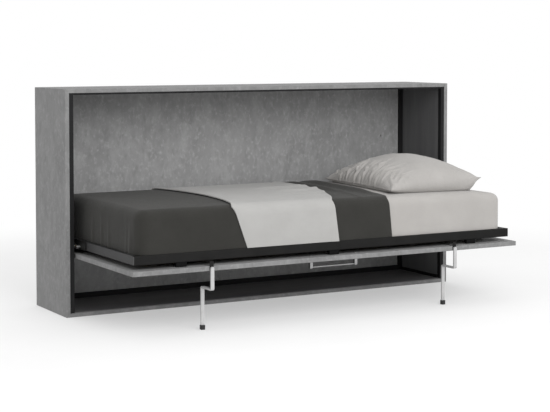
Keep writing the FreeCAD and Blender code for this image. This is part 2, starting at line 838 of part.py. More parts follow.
def soft(name, shape):
    feature = doc.addObject("Part::Feature", name + "_form")
    feature.Shape = shape
    return keep(name, feature)


def bedding():
    """Mattress, fitted sheet, dark cover from the foot end, and the pale throw across it."""
    soft("mattress", block_form(0))
    soft("fitted_sheet", block_form(size("sheet_out")).cut(block_form(size("face_gap"), size("cutter_drop"))))
    beyond = size("cab_width")
    foot, head = -size("mattress_long") / 2, size("mattress_long") / 2
    cover = block_form(size("cover_out")).fuse(hanging_folds())
    cover = cover.cut(block_form(size("sheet_out") + size("face_gap"), size("cutter_drop")))
    ends = [head - size("cover_short_" + where) for where in ("front", "mid", "back")]
    soft("dark_cover", cover.common(cloth_region([foot - beyond] * 3, ends)))
    under = block_form(size("cover_out") + size("face_gap"), size("cutter_drop"))
    throw = block_form(size("throw_out")).cut(under)
    starts = [foot + size("throw_start_" + where) for where in ("front", "mid", "back")]
    ends = [foot + size("throw_end_" + where) for where in ("front", "mid", "back")]
    soft("throw", throw.common(cloth_region(starts, ends)))


def cloth_region(starts, ends):
    """A tall prism between two curved edges, each given at the bed's front, middle and back."""
    front = size("front_plane") - size("mattress_front")
    back = front + size("mattress_deep")
    spare = size("top_round")
    rows = (front, (front + back) / 2, back)
    left = [FreeCAD.Vector(x, y, 0) for x, y in zip(starts, rows)]
    right = [FreeCAD.Vector(x, y, 0) for x, y in zip(ends, rows)]
    near = [spot + FreeCAD.Vector(0, -spare, 0) for spot in (left[0], right[0])]
    far = [spot + FreeCAD.Vector(0, spare, 0) for spot in (left[2], right[2])]
    edges = [curve_through(left), Part.makeLine(left[2], far[0]), Part.makeLine(far[0], far[1]),
             Part.makeLine(far[1], right[2]), curve_through(right[::-1]), Part.makeLine(right[0], near[1]),
             Part.makeLine(near[1], near[0]), Part.makeLine(near[0], left[0])]
    return Part.Face(Part.Wire(edges)).extrude(FreeCAD.Vector(0, 0, size("cab_height")))


def curve_through(spots):
    """An arc through three points, or a line where they are in a row."""
    first, middle, last = spots
    if (middle - first).cross(last - first).Length < 1:
        return Part.makeLine(first, last)
    return Part.Arc(first, middle, last).toShape()


def fold_ridge(stations, across, out):
    """A soft fold: a loft through low arcs, each (middle, half width, rise) on a cloth's face."""
    sections = []
    for middle, half, rise in stations:
        sink = middle - out * size("sheet_thick")
        start, finish = sink - across * half, sink + across * half
        crest = Part.Arc(start, middle + out * rise, finish).toShape()
        sections.append(Part.Wire([crest, Part.makeLine(finish, start)]))
    return Part.makeLoft(sections, True, True)


def hanging_folds():
    """Upright folds where the cover hangs over the foot end, wider towards their lower ends."""
    x = -size("mattress_long") / 2 - size("cover_out")
    front = size("front_plane") - size("mattress_front")
    low, high = size("mattress_low"), size("mattress_top") - size("top_round")
    half, rise = size("hang_fold_wide") / 2, size("hang_fold_rise")
    folds = []
    for share in (0.36, 0.5):
        y = front + share * size("mattress_deep")
        stations = [(FreeCAD.Vector(x, y, low), half, rise),
                    (FreeCAD.Vector(x, y, high), half * 0.4, rise * 0.07)]
        folds.append(fold_ridge(stations, ALONG_Y, -ALONG_X))
    return folds


def pillow():
    """A pillow with a crown, thin seams, drawn-in sides and corners that stand out."""
    long_half, wide_half = size("pillow_long") / 2, size("pillow_wide") / 2
    thick = size("pillow_thick")
    # share of the way from the middle to a seam, and how full the pillow is there
    profile = ((0, 1), (0.4, 0.93), (0.75, 0.65), (1, 0.08))
    stations = [(-share, full) for share, full in reversed(profile)] + list(profile[1:])
    sections = []
    for share, full in stations:
        half = wide_half - size("pillow_ear") * (1 - share ** 2)
        left = FreeCAD.Vector(-half, 0, thick * 0.18)
        right = FreeCAD.Vector(half, 0, thick * 0.36)
        middle = (left + right) / 2
        crown = middle + FreeCAD.Vector(0, 0, (thick - middle.z) * full)
        upper = Part.Arc(left, crown, right).toShape()
        belly = FreeCAD.Vector(0, 0, middle.z * (1 - full) + size("pillow_lift"))
        lower = Part.Arc(right, belly, left).toShape()
        section = Part.Wire([upper, lower])
        section.translate(FreeCAD.Vector(0, share * long_half, 0))
        sections.append(section)
    shape = Part.makeLoft(sections, True, True)
    shape.rotate(FreeCAD.Vector(), ALONG_Z, -size("pillow_turn"))
    x = size("mattress_long") / 2 - size("pillow_head_gap") - wide_half
    y = size("front_plane") - size("mattress_front") + size("pillow_front_gap") + long_half
    shape.translate(FreeCAD.Vector(x, y, size("mattress_top") + size("sheet_out") + size("face_gap")))
    soft("pillow", shape)


def check_objects():
    """Stop on any object that failed to rebuild, before a file is written."""
    doc.recompute()
    for thing in doc.Objects:
        states = set(thing.State)
        if "Invalid" in states or "Error" in states:
            raise RuntimeError("object %s failed: %s" % (thing.Label, thing.State))
    bad = [name for name, thing in parts.items()
           if thing.Shape.isNull() or not thing.Shape.isValid() or not thing.Shape.Solids]
    if bad:
        raise RuntimeError("no valid solid in: %s" % ", ".join(bad))


def export():
    os.makedirs("parts", exist_ok=True)
    whole = FreeCAD.BoundBox()
    for name, thing in parts.items():
        thing.Shape.exportStep("parts/%s.step" % name)
        whole.add(thing.Shape.BoundBox)
    print("sub-parts:", len(parts))
    print("overall size:", round(whole.XLength, 1), round(whole.YLength, 1), round(whole.ZLength, 1))
    print("middle in x and y:", round(whole.Center.x, 2), round(whole.Center.y, 2))
    print("lowest point:", round(whole.ZMin, 2))


fill_sheet()
carcass()
lining()
bed_frame()
rail_caps()
slats()
door()
pivots()
legs()
handle()
struts()
bedding()
pillow()
check_objects()
export()
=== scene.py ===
# %% [markdown]
# # A cabinet bed, dressed in Blender
# A cabinet bed is a shallow cabinet with a bed that swings down out of its long front. Its boards, tubes
# and fittings come from the construction model, so they are loaded as a fixed frame and only painted
# here. What is soft, such as the mattress, the linen and the pillow, is modelled here in its place.

# %% Load the frame
import math
import random

import bpy
import bmesh
from mathutils import Matrix, Vector, noise


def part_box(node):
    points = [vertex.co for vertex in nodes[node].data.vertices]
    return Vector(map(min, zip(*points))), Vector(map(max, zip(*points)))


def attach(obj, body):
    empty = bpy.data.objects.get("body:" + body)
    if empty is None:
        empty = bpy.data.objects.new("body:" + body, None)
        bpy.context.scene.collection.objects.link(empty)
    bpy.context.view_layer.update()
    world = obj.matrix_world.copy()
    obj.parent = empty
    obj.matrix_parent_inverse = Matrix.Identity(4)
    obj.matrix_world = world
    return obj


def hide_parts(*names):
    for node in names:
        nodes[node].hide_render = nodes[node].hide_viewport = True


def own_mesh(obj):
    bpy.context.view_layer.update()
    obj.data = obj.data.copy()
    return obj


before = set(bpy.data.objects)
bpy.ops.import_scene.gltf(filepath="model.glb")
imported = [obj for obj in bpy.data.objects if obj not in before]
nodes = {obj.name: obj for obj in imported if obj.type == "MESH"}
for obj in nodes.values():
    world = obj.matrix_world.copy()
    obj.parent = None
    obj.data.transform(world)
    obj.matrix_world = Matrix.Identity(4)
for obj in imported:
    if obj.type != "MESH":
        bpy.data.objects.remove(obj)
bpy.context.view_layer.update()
bpy.ops.object.select_all(action="DESELECT")

# %% [markdown]
# ## Camera
# The photograph is taken from the front and the left, from a little above the cabinet's top, with a
# long lens. A long lens far away keeps the upright edges nearly parallel. A small vertical shift, as
# on a view camera, does the rest, so that they hardly lean.

# %% Camera
CAMERA_PLACE = (-3.5052, -6.1235, 1.2362)
CAMERA_TURN = 29.308
CAMERA_DIP = 3.053
CAMERA_LENS = 97.02
CAMERA_SHIFT = (0.0079, -0.15)

bpy.ops.object.camera_add(location=CAMERA_PLACE,
                          rotation=(math.radians(90 - CAMERA_DIP), 0, math.radians(-CAMERA_TURN)))
camera = bpy.context.object
camera.name = "camera"
camera.data.lens = CAMERA_LENS
camera.data.sensor_width = 36
camera.data.shift_x, camera.data.shift_y = CAMERA_SHIFT
bpy.context.scene.camera = camera
print("camera:", CAMERA_LENS, "mm lens")

# %% [markdown]
# ## Floor and light
# A studio shot has an even white surround and one large soft lamp. The surround is the world's colour,
# the lamp is a round area light as wide as a window, high in front of the bed, and the floor is a
# pale sheet that catches a soft shadow.

# %% Floor and light
FLOOR_SIZE = 60
FLOOR_GAP = 0.0005
LAMP_SIZE = 4.5
LAMP_POWER = 230
LAMP_PLACE = (-0.5, -5.3, 3.6)
LAMP_AIM = (0, 0, 0.4)


def add_floor():
    """A sheet just under the feet, so that it doesn't flicker through the bottom panel."""
    bpy.ops.mesh.primitive_grid_add(x_subdivisions=4, y_subdivisions=4, size=FLOOR_SIZE,
                                    location=(0, 0, -FLOOR_GAP))
    floor = bpy.context.object
    floor.name = "studio_floor"
    return floor


def add_lamp(name, place, aim, power, size):
    bpy.ops.object.light_add(type="AREA", location=place)
    lamp = bpy.context.object
    lamp.name = name
    lamp.data.shape = "DISK"
    lamp.data.size = size
    lamp.data.energy = power
    lamp.rotation_euler = (Vector(aim) - Vector(place)).to_track_quat("-Z", "Y").to_euler()
    return lamp


floor = add_floor()
key_lamp = add_lamp("key_lamp", LAMP_PLACE, LAMP_AIM, LAMP_POWER, LAMP_SIZE)
world = bpy.data.worlds.new("studio")
bpy.context.scene.world = world
world.use_nodes = True
world.node_tree.nodes["Background"].inputs["Color"].default_value = (1, 1, 1, 1)
world.node_tree.nodes["Background"].inputs["Strength"].default_value = 1.0
bpy.context.scene.view_settings.view_transform = "Standard"
print("lamp:", key_lamp.data.energy, "W")

# %% [markdown]
# ## Shared effects
# Several finishes need the same effects: a cloudy tone that varies from place to place, a fine grain
# that breaks up the shine, and a weave. Each is a node group that is built once and used with its
# own numbers, as a paint shop mixes one base with several tints.

# %% Helpers for node groups
def new_group(name, inputs, outputs):
    """An empty node group; inputs are (name, socket type, value)."""
    tree = bpy.data.node_groups.new(name, "ShaderNodeTree")
    for label, kind, value in inputs:
        socket = tree.interface.new_socket(label, in_out="INPUT", socket_type=kind)
        if value is not None:
            socket.default_value = value
    for label, kind in outputs:
        tree.interface.new_socket(label, in_out="OUTPUT", socket_type=kind)
    return tree, tree.nodes.new("NodeGroupInput"), tree.nodes.new("NodeGroupOutput")


def new_node(tree, kind, **values):
    """A node with its settings and sockets given by name, with _ for a space in a socket's name."""
    node = tree.nodes.new(kind)
    for label, value in values.items():
        if hasattr(node, label):
            setattr(node, label, value)
        else:
            node.inputs[label.replace("_", " ")].default_value = value
    return node


# %% Cloudy tone
def make_cloud_group():
    """Mask of soft clouds, from 0 to 1, stretched along Z by the Streak value."""
    tree, start, end = new_group("cloudy_tone", [("Vector", "NodeSocketVector", None),
                                                 ("Scale", "NodeSocketFloat", 4.0),
                                                 ("Streak", "NodeSocketVector", (1, 1, 1)),
                                                 ("Low", "NodeSocketFloat", 0.35),
                                                 ("High", "NodeSocketFloat", 0.65)],
                                 [("Mask", "NodeSocketFloat")])
    stretch = new_node(tree, "ShaderNodeVectorMath", operation="MULTIPLY")
    clouds = new_node(tree, "ShaderNodeTexNoise", Detail=7.0, Roughness=0.62)
    spread = new_node(tree, "ShaderNodeMapRange")
    tree.links.new(start.outputs["Vector"], stretch.inputs[0])
    tree.links.new(start.outputs["Streak"], stretch.inputs[1])
    tree.links.new(stretch.outputs[0], clouds.inputs["Vector"])
    tree.links.new(start.outputs["Scale"], clouds.inputs["Scale"])
    tree.links.new(clouds.outputs["Fac"], spread.inputs["Value"])
    tree.links.new(start.outputs["Low"], spread.inputs["From Min"])
    tree.links.new(start.outputs["High"], spread.inputs["From Max"])
    tree.links.new(spread.outputs["Result"], end.inputs["Mask"])
    return tree


cloud_group = make_cloud_group()
print("group:", cloud_group.name)

# %% Fine grain
def make_grain_group():
    """A normal with fine grain; Height is the grain's depth in metres."""
    tree, start, end = new_group("fine_grain", [("Vector", "NodeSocketVector", None),
                                                ("Scale", "NodeSocketFloat", 300.0),
                                                ("Height", "NodeSocketFloat", 0.0002)],
                                 [("Normal", "NodeSocketVector")])
    grain = new_node(tree, "ShaderNodeTexNoise", Detail=4.0)
    bump = new_node(tree, "ShaderNodeBump", Strength=0.6)
    tree.links.new(start.outputs["Vector"], grain.inputs["Vector"])
    tree.links.new(start.outputs["Scale"], grain.inputs["Scale"])
    tree.links.new(start.outputs["Height"], bump.inputs["Distance"])
    tree.links.new(grain.outputs["Fac"], bump.inputs["Height"])
    tree.links.new(bump.outputs["Normal"], end.inputs["Normal"])
    return tree


grain_group = make_grain_group()
print("group:", grain_group.name)

# %% Weave
def make_weave_group():
    """Crossed threads on a cloth's UV map, in metres: a normal, and a mask of the thread tops."""
    tree, start, end = new_group("thread_weave", [("Vector", "NodeSocketVector", None),
                                                  ("Threads", "NodeSocketFloat", 900.0),
                                                  ("Height", "NodeSocketFloat", 0.0002)],
                                 [("Normal", "NodeSocketVector"), ("Mask", "NodeSocketFloat")])
    waves = []
    for direction in ("X", "Y"):
        wave = new_node(tree, "ShaderNodeTexWave", bands_direction=direction, Distortion=0.6,
                        Detail_Scale=3.0)
        tree.links.new(start.outputs["Vector"], wave.inputs["Vector"])
        tree.links.new(start.outputs["Threads"], wave.inputs["Scale"])
        waves.append(wave)
    both = new_node(tree, "ShaderNodeMath", operation="MULTIPLY")
    bump = new_node(tree, "ShaderNodeBump", Strength=0.5)
    tree.links.new(waves[0].outputs["Fac"], both.inputs[0])
    tree.links.new(waves[1].outputs["Fac"], both.inputs[1])
    tree.links.new(start.outputs["Height"], bump.inputs["Distance"])
    tree.links.new(both.outputs[0], bump.inputs["Height"])
    tree.links.new(bump.outputs["Normal"], end.inputs["Normal"])
    tree.links.new(both.outputs[0], end.inputs["Mask"])
    return tree


weave_group = make_weave_group()
print("group:", weave_group.name)

# %% [markdown]
# ## Finishes of the hard pieces
# Each finish starts from one shader with plain numbers: its colour, how rough it is and whether it is
# metal. Then a cloudy tone moves the colour between a darker and a lighter one, and the grain bends the
# light a little, as real boards and painted steel do.

# %% A finish from a shader, two tones and a grain
def place_group(tree, group, **values):
    node = tree.nodes.new("ShaderNodeGroup")
    node.node_tree = group
    for label, value in values.items():
        node.inputs[label].default_value = value
    return node


def new_finish(name, dark, light, roughness, metallic=0.0, scale=4.0, streak=(1, 1, 1),
               low=0.35, high=0.65, grain=300.0, depth=0.0002, shine=0.5, map_name="Object"):
    """A material whose colour wanders between two tones."""
    material = bpy.data.materials.new(name)
    material.use_nodes = True
    tree = material.node_tree
    shader = tree.nodes["Principled BSDF"]
    shader.inputs["Metallic"].default_value = metallic
    shader.inputs["Roughness"].default_value = roughness
    shader.inputs["Specular IOR Level"].default_value = shine
    place = tree.nodes.new("ShaderNodeTexCoord")
    clouds = place_group(tree, cloud_group, Scale=scale, Streak=streak, Low=low, High=high)
    tone = new_node(tree, "ShaderNodeMix", data_type="RGBA")
    tone.inputs[6].default_value = (*dark, 1)
    tone.inputs[7].default_value = (*light, 1)
    tree.links.new(place.outputs[map_name], clouds.inputs["Vector"])
    tree.links.new(clouds.outputs["Mask"], tone.inputs[0])
    tree.links.new(tone.outputs[2], shader.inputs["Base Color"])
    surface = place_group(tree, grain_group, Scale=grain, Height=depth)
    tree.links.new(place.outputs[map_name], surface.inputs["Vector"])
    tree.links.new(surface.outputs["Normal"], shader.inputs["Normal"])
    return material


def paint(material, *names):
    """Give CAD nodes this finish, by their material slots."""
    for name in names:
        slots = nodes[name].material_slots
        for slot in slots:
            slot.material = material
        if not slots:
            nodes[name].data.materials.append(material)
    print(material.name, "on", len(names), "nodes")


# %% [markdown]
# ### Cement-look board
# The outer boards and the door have a printed cement face: mid grey, with pale and dark clouds that
# are a little longer upright, where the trowel went, and small pale specks. The base wanders slowly
# between two greys. Pale patches, dark stains and specks are three finer layers of clouds, each mixed
# over the last. The back panel has the same print made lighter than the rest, as painted light that
# stands in for the lamp light reaching the back of the recess.

# %% Cement-look board
def layer_tone(tree, below, place, colour, **clouds):
    """Mix one more colour over what is below, where a cloud mask says."""
    mask = place_group(tree, cloud_group, **clouds)
    mix = new_node(tree, "ShaderNodeMix", data_type="RGBA")
    mix.inputs[7].default_value = (*colour, 1)
    tree.links.new(place.outputs["Object"], mask.inputs["Vector"])
    tree.links.new(mask.outputs["Mask"], mix.inputs[0])
    tree.links.new(below, mix.inputs[6])
    return mix.outputs[2]


# light scales every tone of the print; above 1 it makes the lighter print that is painted light.
def make_cement(name, light=1.0):
    dark, base, pale, stain, speck = [(light * level,) * 3 for level in (0.158, 0.194, 0.226, 0.132, 0.258)]
    material = new_finish(name, dark, base, 0.66, shine=0.3,
                          scale=3.2, streak=(1, 1, 0.7), low=0.32, high=0.68, grain=220, depth=0.0006)
    tree = material.node_tree
    shader = tree.nodes["Principled BSDF"]
    place = next(node for node in tree.nodes if node.type == "TEX_COORD")
    tone = shader.inputs["Base Color"].links[0].from_socket
    tone = layer_tone(tree, tone, place, pale, Scale=16.0, Streak=(1.2, 1.2, 0.7),
                      Low=0.46, High=0.78)
    tone = layer_tone(tree, tone, place, stain, Scale=27.0, Streak=(1.3, 1.3, 0.6),
                      Low=0.50, High=0.84)
    tone = layer_tone(tree, tone, place, speck, Scale=62.0, Streak=(1, 1, 0.7),
                      Low=0.52, High=0.78)
    tree.links.new(tone, shader.inputs["Base Color"])
    return material


paint(make_cement("cement_board"), "side_panel_left", "side_panel_right", "top_panel", "bottom_panel",
      "door_panel")
# The back panel's print is made lighter as painted light, for the lamp light that reaches the back of the
# recess.
paint(make_cement("cement_back_painted_lighter", 1.42), "back_panel")

# %% [markdown]
# ### Dark boards, steel and plastic
# The trim is black, the lining is a dark grey board with a faint upright grain, and the bed's tubes
# are powder-coated, which shows as a very fine orange-peel grain.

# %% Dark boards, steel and plastic
paint(new_finish("black_board", (0.0065, 0.0065, 0.0068), (0.011, 0.011, 0.0115), 0.6, scale=6,
                 streak=(3, 3, 0.4), grain=500, depth=0.0002, shine=0.15),
      "front_upright_left", "front_upright_right", "front_top_trim", "rear_post_left",
      "rear_post_right", "rear_sill", "floor_strip_left", "floor_strip_right")
paint(new_finish("anthracite_board", (0.090, 0.090, 0.092), (0.118, 0.118, 0.120), 0.6, scale=5,
                 streak=(4, 4, 0.35), grain=420, depth=0.0003, shine=0.25),
      "lining_panel_left", "lining_panel_right")
# The floor panel takes the lining's board made lighter, as painted light that makes up for the deep shade
# under the bed; its grain runs the other way.
paint(new_finish("anthracite_floor_painted_lighter", (0.120, 0.117, 0.120), (0.150, 0.147, 0.150), 0.6, scale=5,
                 streak=(0.35, 4, 4), grain=420, depth=0.0003, shine=0.25), "floor_panel")
paint(new_finish("black_powder_coat", (0.0060, 0.0059, 0.0057), (0.0090, 0.0087, 0.0084), 0.55, scale=9,
                 grain=900, depth=0.00015, shine=0.15), "front_rail", "rear_rail", "bed_plate_left",
      "bed_plate_right", "wall_plate_left", "wall_plate_right", "leg_bracket_left",
      "leg_bracket_right")
# The door spacers take the darkest black of all, darker than the other black parts: painted shade, so that
# they match the dark shadow in the gap between the door and the rail.
paint(new_finish("black_block_painted_shade", (0.0030, 0.0030, 0.0031), (0.0045, 0.0045, 0.0046), 0.7, scale=12,
                 grain=500, depth=0.0002, shine=0.1), "door_spacers")
# The side rails take the black powder coat in a lighter grey: painted light for their faces, which turn to
# the left and catch more of the white surround.
paint(new_finish("powder_coat_painted_lighter", (0.017, 0.017, 0.0175), (0.023, 0.023, 0.0235), 0.5, scale=9,
                 grain=900, depth=0.00015, shine=0.3), "side_rail_left", "side_rail_right")
paint(new_finish("black_plastic", (0.012, 0.012, 0.012), (0.020, 0.020, 0.020), 0.48, scale=20,
                 grain=700, depth=0.0001), "rail_caps", "slat_holders")
paint(new_finish("foot_rubber", (0.009, 0.009, 0.009), (0.016, 0.016, 0.016), 0.75, scale=60,
                 grain=600, depth=0.0003), "leg_foot_left", "leg_foot_right")

# %% [markdown]
# ### Bright metals and the slats
# The legs are silver-painted flat steel, the handle is chromed, and the pins and rods are bare bright
# steel. The slats are bent birch plywood, whose grain runs along the slat.

# %% Bright metals and the slats
paint(new_finish("silver_leg_paint", (0.42, 0.42, 0.42), (0.50, 0.50, 0.50), 0.34, metallic=0.35,
                 scale=14, grain=800, depth=0.0001),
      "leg_bar_left", "leg_bar_right")
paint(new_finish("handle_chrome", (0.28, 0.28, 0.28), (0.36, 0.36, 0.36), 0.22, metallic=1.0,
                 scale=30, grain=500, depth=0.00002), "handle_bar", "handle_foot_left",
      "handle_foot_right")
paint(new_finish("bright_steel", (0.48, 0.48, 0.48), (0.60, 0.60, 0.60), 0.28, metallic=1.0,
                 scale=40, streak=(1, 6, 6), grain=900, depth=0.00005),
      "anchor_studs", "pivot_pins", "bed_studs", "leg_pin_left", "leg_pin_right", "strut_rod_left",
      "strut_rod_right", "handle_screws")
paint(new_finish("strut_enamel", (0.010, 0.010, 0.010), (0.015, 0.015, 0.015), 0.30, scale=20,
                 grain=900, depth=0.00005), "strut_tube_left", "strut_tube_right")
paint(new_finish("bush_bronze", (0.36, 0.22, 0.10), (0.46, 0.30, 0.15), 0.38, metallic=1.0,
                 scale=50, grain=700, depth=0.0001), "pivot_bushes")
paint(new_finish("birch_slat", (0.46, 0.32, 0.18), (0.62, 0.47, 0.29), 0.5, scale=9,
                 streak=(6, 0.5, 6), grain=500, depth=0.0003), "slats")

# %% [markdown]
# ### Studio floor
# In the photograph the floor is pure white, also close to the bed. A grey floor would need so much
# light for that, that the boards would burn out. So the floor gives off some white light of its own,
# and all of it far from the bed, where it melts into the surround.

# %% Studio floor
def make_studio_white(near=2.2, far=3.6, glow=0.4):
    """A pale floor whose own light is a share, glow, of it near the bed and all of it far away."""
    material = new_finish("studio_white", (0.77, 0.77, 0.77), (0.81, 0.81, 0.81), 0.8, scale=0.8,
                          grain=60, depth=0.0002)
    tree = material.node_tree
    place = next(node for node in tree.nodes if node.type == "TEX_COORD")
    away = new_node(tree, "ShaderNodeVectorMath", operation="LENGTH")
    share = new_node(tree, "ShaderNodeMapRange", From_Min=near, From_Max=far, To_Min=glow,
                     interpolation_type="SMOOTHSTEP")
    white = new_node(tree, "ShaderNodeEmission", Strength=1.0)
    mix = new_node(tree, "ShaderNodeMixShader")
    tree.links.new(place.outputs["Object"], away.inputs[0])
    tree.links.new(away.outputs["Value"], share.inputs["Value"])
    tree.links.new(share.outputs["Result"], mix.inputs[0])
    tree.links.new(tree.nodes["Principled BSDF"].outputs[0], mix.inputs[1])
    tree.links.new(white.outputs[0], mix.inputs[2])
    tree.links.new(mix.outputs[0], tree.nodes["Material Output"].inputs["Surface"])
    return material


floor.data.materials.append(make_studio_white())

# %% [markdown]
# ## Cloth over the mattress
# The sheet, the cover and the throw all lie over the same rounded block. Each is first laid out as
# squares on a sharp-edged box, like paper round a parcel, and every corner point is then moved to
# the rounded block. So the squares follow the cloth's own edges, and its UV map is the cloth laid
# flat, in metres, which keeps the weave the same size everywhere.

# %% The block that the cloth lies on
block_low, block_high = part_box("mattress")
block_middle = (block_low + block_high) / 2
BLOCK_CORNER = 0.044
BLOCK_RIM = 0.036
HEAD_SAG = 0.013
SAG_LONG = 0.17


def fade(value, low, high):
    """From 0 at low to 1 at high, with soft ends."""
    share = max(0, min(1, (value - low) / (high - low)))
    return share * share * (3 - 2 * share)


def half_size(grow):
    """Half the block's length and depth, for a cloth that lies at a distance, grow, outside it."""
    return (block_high.x - block_low.x) / 2 + grow, (block_high.y - block_low.y) / 2 + grow


def sagged(place):
    """The block's top falls a little towards the head end."""
    share = max(0, min(1, (place.z - block_low.z) / (block_high.z - block_low.z)))
    place.z -= HEAD_SAG * share * fade(place.x, block_high.x - SAG_LONG, block_high.x)
    return place


print("block:", [round(v, 3) for v in block_high - block_low])

# %% A point on the rounded block
def rounded(point, grow):
    """A point of the sharp box moved to the rounded block, and the way out from there.

    In plan, a point near an upright corner is pulled in to the corner's arc. Inset is how far it is
    from the wall and depth how far it is below the top; where both are small it goes to the rim's arc.
    """
    wide, deep = half_size(grow)
    corner, rim = BLOCK_CORNER + grow, BLOCK_RIM + grow
    x, y = point.x - block_middle.x, point.y - block_middle.y
    depth = block_high.z + grow - point.z
    core = Vector((max(corner - wide, min(wide - corner, x)), max(corner - deep, min(deep - corner, y))))
    away = Vector((x, y)) - core
    if away.x and away.y:
        away *= max(abs(away.x), abs(away.y)) / away.length
        inset, out = corner - away.length, away.normalized()
    elif wide - abs(x) < deep - abs(y):
        inset, out = wide - abs(x), Vector((math.copysign(1, x), 0))
    else:
        inset, out = deep - abs(y), Vector((0, math.copysign(1, y)))
    plan = core + away
    tilt = (0, 1) if depth < rim else (1, 0)
    if inset < rim and depth < rim:
        bend = Vector((inset - rim, depth - rim)).normalized()
        plan += out * (inset - rim * (1 + bend.x))
        depth = rim * (1 + bend.y)
        tilt = (-bend.x, -bend.y)
    place = Vector((plan.x + block_middle.x, plan.y + block_middle.y, block_high.z + grow - depth))
    return sagged(place), Vector((out.x * tilt[0], out.y * tilt[0], tilt[1]))


foot_corner = rounded(Vector((block_low.x, block_low.y, block_high.z)), 0)[0]
print("front foot corner moves to", [round(v, 3) for v in foot_corner])

# %% Lay out a cloth and wrap it
def grid(columns, rows):
    """The column and row number of every square of a sheet or a wall."""
    return [(a, b) for a in range(columns) for b in range(rows)]


def block_cloth(name, start, end, grow, cell, hem, lift, walls=("front", "back"), lean=(0, 0)):
    """A cloth from start(y) to end(y) over the block; walls says where it hangs down.

    Grow is how far it lies outside the block, cell the size of its squares, and hem the height of its
    lower edge. Lift(place, out) adds what folds stand off. Lean is how far the two edges run towards
    the head on their way down the front.
    """
    wide, deep = half_size(grow)
    top = block_high.z + grow
    middle = block_middle.y
    across = max(2, round(2 * deep / cell))
    along = max(2, round((end(middle) - start(middle)) / cell))
    down = max(2, round((top - hem) / cell))
    mesh = bmesh.new()
    laid = mesh.loops.layers.uv.new("cloth")
    corners = {}

    def corner(i, j, k):
        """Column i along the bed, row j across it and step k down the wall, as a vertex."""
        y = middle - deep + 2 * deep * j / across
        drop = k / down if j == 0 else 0
        first, last = start(y) + lean[0] * drop, end(y) + lean[1] * drop
        x = first + (last - first) * i / along
        point = Vector((x, y, top + (hem - top) * k / down))
        key = (i, j, k)
        if key not in corners:
            place, out = rounded(point, grow)
            corners[key] = mesh.verts.new(place + out * lift(place, out))
        return corners[key], point

    def square(keys, side):
        made = [corner(*key) for key in keys]
        face = mesh.faces.new([vertex for vertex, point in made])
        for loop, (vertex, point) in zip(face.loops, made):
            drop = top - point.z
            loop[laid].uv = (point.x + side[0] * drop, point.y + side[1] * drop)

    for i, j in grid(along, across):
        square([(i, j, 0), (i + 1, j, 0), (i + 1, j + 1, 0), (i, j + 1, 0)], (0, 0))
    for i, k in grid(along, down):
        square([(i, 0, k + 1), (i + 1, 0, k + 1), (i + 1, 0, k), (i, 0, k)], (0, -1))
        square([(i, across, k), (i + 1, across, k), (i + 1, across, k + 1), (i, across, k + 1)], (0, 1))
    for j, k in grid(across, down):
        if "foot" in walls:
            square([(0, j, k), (0, j + 1, k), (0, j + 1, k + 1), (0, j, k + 1)], (-1, 0))
        if "head" in walls:
            square([(along, j, k), (along, j, k + 1), (along, j + 1, k + 1), (along, j + 1, k)], (1, 0))
    data = bpy.data.meshes.new(name)
    mesh.to_mesh(data)
    mesh.free()
    piece = bpy.data.objects.new(name, data)
    bpy.context.scene.collection.objects.link(piece)
    return piece


# %% Give a cloth its thickness
def make_current(piece):
    """Select this piece alone, so that the next operator works on it."""
    bpy.ops.object.select_all(action="DESELECT")
    piece.select_set(True)
    bpy.context.view_layer.objects.active = piece


def give_thickness(piece, thickness):
    """Solidify inwards, apply it, and shade the cloth smooth."""
    make_current(piece)
    solid = piece.modifiers.new("thickness", "SOLIDIFY")
    solid.thickness = thickness
    solid.offset = -1
    bpy.ops.object.modifier_apply(modifier=solid.name)
    bpy.ops.object.shade_smooth_by_angle(angle=math.radians(60))
    print(piece.name, len(piece.data.polygons), "faces")


# %% [markdown]
# ### Cotton
# All the linen is plain cotton. Its finish is a weave on the UV map, a slow change of tone, and a
# little sheen, which is the soft light that fine fibres catch when they are seen edge on.

# %% Cotton
def new_cotton(name, dark, light, threads=420.0, depth=0.0004, sheen=0.15, creases=0.004):
    material = new_finish(name, dark, light, 0.9, scale=6, low=0.3, high=0.7, map_name="UV")
    tree = material.node_tree
    shader = tree.nodes["Principled BSDF"]
    shader.inputs["Sheen Weight"].default_value = sheen
    shader.inputs["Sheen Roughness"].default_value = 0.5
    shader.inputs["Specular IOR Level"].default_value = 0.2
    place = next(node for node in tree.nodes if node.type == "TEX_COORD")
    old = shader.inputs["Normal"].links[0].from_node
    tree.nodes.remove(old)
    weave = place_group(tree, weave_group, Threads=threads, Height=depth)
    crease = place_group(tree, cloud_group, Scale=11.0, Low=0.25, High=0.75)
    bump = new_node(tree, "ShaderNodeBump", Strength=0.35, Distance=creases)
    tree.links.new(place.outputs["UV"], weave.inputs["Vector"])
    tree.links.new(place.outputs["UV"], crease.inputs["Vector"])
    tree.links.new(crease.outputs["Mask"], bump.inputs["Height"])
    tree.links.new(weave.outputs["Normal"], bump.inputs["Normal"])
    tree.links.new(bump.outputs["Normal"], shader.inputs["Normal"])
    return material


def dress(piece, material, node):
    """Paint a soft piece, let it stand for its CAD node, and carry it on the bed."""
    piece.data.materials.clear()
    piece.data.materials.append(material)
    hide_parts(node)
    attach(piece, "bed")


ticking = new_cotton("mattress_ticking", (0.60, 0.59, 0.56), (0.68, 0.67, 0.64), threads=180)
sheet_cotton = new_cotton("sheet_cotton", (0.330, 0.317, 0.303), (0.363, 0.349, 0.335))
cover_cotton = new_cotton("cover_cotton", (0.0225, 0.0220, 0.0195), (0.0280, 0.0272, 0.0245), sheen=0.09)
throw_cotton = new_cotton("throw_cotton", (0.325, 0.321, 0.312), (0.357, 0.353, 0.344))
print("cotton:", ticking.name, sheet_cotton.name, cover_cotton.name, throw_cotton.name)

